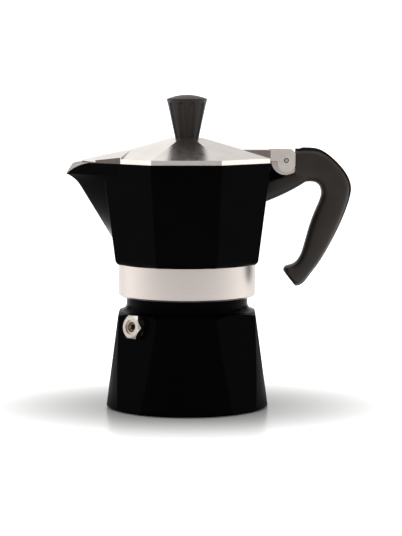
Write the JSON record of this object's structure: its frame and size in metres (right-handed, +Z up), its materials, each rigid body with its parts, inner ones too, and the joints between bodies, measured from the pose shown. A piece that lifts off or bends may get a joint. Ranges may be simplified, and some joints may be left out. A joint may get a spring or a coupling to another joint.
{
  "type": "moka pot",
  "caption": "Stove-top moka pot: faceted boiler with safety valve, coffee basket, screw-on collector with spout and handle, hinged lid with knob.",
  "frame": {"origin": "centre of the flat base on the pot's axis", "axes": "+Z up along the pot's axis, +X towards the handle, so the spout points to -X"},
  "size_m": [0.1452, 0.0848, 0.1596],
  "materials": {
    "black_enamel": "gloss black paint on cast aluminium, bare where metal shows",
    "bare_aluminium": "satin cast aluminium",
    "sheet_aluminium": "drawn aluminium sheet",
    "plated_brass": "nickel plated brass",
    "brass": "turned brass",
    "spring_steel": "bright steel",
    "seal_rubber": "pale rubber",
    "dark_phenolic": "satin moulded plastic"
  },
  "bodies": {
    "boiler": {"boiler": "black_enamel", "valve_body": "plated_brass", "valve_washer": "brass", "valve_bush": "plated_brass", "valve_spring": "spring_steel"},
    "valve_plunger": {"valve_stem": "brass", "valve_seal": "seal_rubber"},
    "basket": {"basket_cup": "sheet_aluminium", "basket_sieve": "sheet_aluminium", "basket_tube": "sheet_aluminium"},
    "seal": {"gasket": "seal_rubber", "filter_plate": "sheet_aluminium"},
    "upper": {"collector": "black_enamel", "riser_column": "bare_aluminium", "handle": "dark_phenolic", "handle_pin": "spring_steel", "hinge_pin": "spring_steel"},
    "lid": {"lid": "bare_aluminium", "knob": "dark_phenolic", "knob_insert": "brass", "knob_screw": "spring_steel", "knob_washer": "spring_steel"}
  },
  "joints": [
    {"name": "seal_lift", "type": "slide", "parent": "boiler", "child": "seal", "axis": [0, 0, 1], "range_m": [0, 0.0091]},
    {"name": "upper_unscrew", "type": "hinge", "parent": "seal", "child": "upper", "pos_m": [0, 0, 0.0713], "axis": [0, 0, 1], "range_deg": [0, 1080]},
    {"name": "basket_lift", "type": "slide", "parent": "boiler", "child": "basket", "axis": [0, 0, 1], "range_m": [0, 0.0058]},
    {"name": "lid_hinge", "type": "hinge", "parent": "upper", "child": "lid", "pos_m": [0.0504, 0, 0.1265], "axis": [0, 1, 0], "range_deg": [0, 95]},
    {"name": "valve_vent", "type": "slide", "parent": "boiler", "child": "valve_plunger", "axis": [-0.7008, -0.7008, 0.1336], "range_m": [0, 0.0015], "stiffness_N_per_m": 1000, "deforming": ["valve_spring"]}
  ],
  "couplings": [
    {"joint": "seal_lift", "follows": "upper_unscrew", "m_per_rad": 0.00047746},
    {"joint": "basket_lift", "follows": "upper_unscrew", "m_per_rad": 0.0003}
  ]
}
